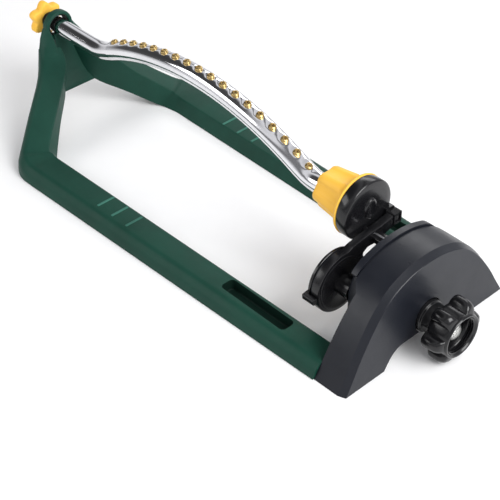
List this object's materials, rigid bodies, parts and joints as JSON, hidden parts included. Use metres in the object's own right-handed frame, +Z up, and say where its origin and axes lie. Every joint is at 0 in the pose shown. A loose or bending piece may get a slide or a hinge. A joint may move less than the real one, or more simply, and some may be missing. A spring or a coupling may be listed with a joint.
{
  "type": "oscillating lawn sprinkler",
  "caption": "Oscillating lawn sprinkler: U-shaped frame with raised rear collar, arched housing with water motor and range dial, and a swinging bowed spray tube with brass jets.",
  "frame": {"origin": "centre of the footprint, on the ground", "axes": "+X along the spray tube towards the hose inlet, +Z up, -Y the side with the range dial"},
  "size_m": [0.529, 0.214, 0.1338],
  "materials": {
    "frame_green": "satin, lightly grained",
    "housing_black": "satin moulded",
    "drive_black": "glossy moulded",
    "control_yellow": "glossy moulded",
    "tube_metal": "polished",
    "jet_brass": "turned",
    "shaft_steel": "turned",
    "gear_white": "moulded",
    "seal_rubber": "matte"
  },
  "bodies": {
    "base": {"base_frame": "frame_green", "front_housing": "housing_black", "motor_case": "housing_black", "turbine_cover": "housing_black", "case_gasket": "seal_rubber", "flow_ring": "gear_white", "axle_a": "shaft_steel", "axle_b": "shaft_steel", "flap_pin": "shaft_steel", "drive_bridge": "drive_black", "bridge_cover": "housing_black", "tube_socket": "housing_black", "collar_bush": "gear_white", "housing_screw_1": "shaft_steel", "housing_screw_2": "shaft_steel", "housing_screw_3": "shaft_steel", "housing_screw_4": "shaft_steel", "case_screw_1": "shaft_steel", "case_screw_2": "shaft_steel", "case_screw_3": "shaft_steel"},
    "tube": {"spray_tube": "tube_metal", "jet_01": "jet_brass", "jet_02": "jet_brass", "jet_03": "jet_brass", "jet_04": "jet_brass", "jet_05": "jet_brass", "jet_06": "jet_brass", "jet_07": "jet_brass", "jet_08": "jet_brass", "jet_09": "jet_brass", "jet_10": "jet_brass", "jet_11": "jet_brass", "jet_12": "jet_brass", "jet_13": "jet_brass", "jet_14": "jet_brass", "jet_15": "jet_brass", "jet_16": "jet_brass", "jet_17": "jet_brass", "jet_18": "jet_brass", "tube_nut": "control_yellow", "tube_gear": "gear_white", "tube_seal": "seal_rubber"},
    "output": {"output_shaft": "shaft_steel"},
    "second_gear": {"gear_b": "gear_white"},
    "first_gear": {"gear_a": "gear_white"},
    "turbine": {"turbine_wheel": "gear_white", "turbine_shaft": "shaft_steel"},
    "dial": {"range_dial": "drive_black", "range_cam": "gear_white", "dial_screw": "shaft_steel"},
    "coupling": {"swivel_coupling": "drive_black", "hose_washer": "seal_rubber", "filter_screen": "shaft_steel"},
    "plug": {"end_plug": "control_yellow", "plug_ring": "seal_rubber", "cleaning_pin": "jet_brass"},
    "flap": {"reversing_flap": "gear_white"}
  },
  "joints": [
    {"name": "tube_swing", "type": "hinge", "parent": "base", "child": "tube", "pos_m": [0.1465, 0, 0.0908], "axis": [0.9999, 0, 0.011], "range_deg": [-48, 42]},
    {"name": "output_spin", "type": "hinge", "parent": "base", "child": "output", "pos_m": [0.1815, 0, 0.07213], "axis": [1, 0, 0], "range_deg": [-143, 163]},
    {"name": "second_gear_spin", "type": "hinge", "parent": "base", "child": "second_gear", "pos_m": [0.2005, 0.00347, 0.06261], "axis": [1, 0, 0], "range_deg": [-181, 159]},
    {"name": "first_gear_spin", "type": "hinge", "parent": "base", "child": "first_gear", "pos_m": [0.205, -0.00508, 0.04542], "axis": [1, 0, 0], "range_deg": [-474, 541]},
    {"name": "turbine_spin", "type": "hinge", "parent": "base", "child": "turbine", "pos_m": [0.2165, 0, 0.0269], "axis": [1, 0, 0], "range_deg": [-1621, 1420]},
    {"name": "dial_turn", "type": "hinge", "parent": "base", "child": "dial", "pos_m": [0.1615, -0.037, 0.045], "axis": [1, 0, 0], "range_deg": [-60, 60]},
    {"name": "coupling_spin", "type": "hinge", "parent": "base", "child": "coupling", "pos_m": [0.2515, 0, 0.0269], "axis": [1, 0, 0], "continuous": true},
    {"name": "end_plug_turn", "type": "hinge", "parent": "tube", "child": "plug", "pos_m": [-0.2535, 0, 0.0864], "axis": [0.9999, 0, 0.011], "range_deg": [0, 350]},
    {"name": "flap_tilt", "type": "hinge", "parent": "base", "child": "flap", "pos_m": [0.2165, 0.022, 0.024], "axis": [1, 0, 0], "range_deg": [-12, 12]}
  ],
  "couplings": [
    {"joint": "output_spin", "follows": "tube_swing", "ratio": -3.375},
    {"joint": "second_gear_spin", "follows": "tube_swing", "ratio": 3.75},
    {"joint": "first_gear_spin", "follows": "tube_swing", "ratio": -11.25},
    {"joint": "turbine_spin", "follows": "tube_swing", "ratio": 33.75}
  ]
}
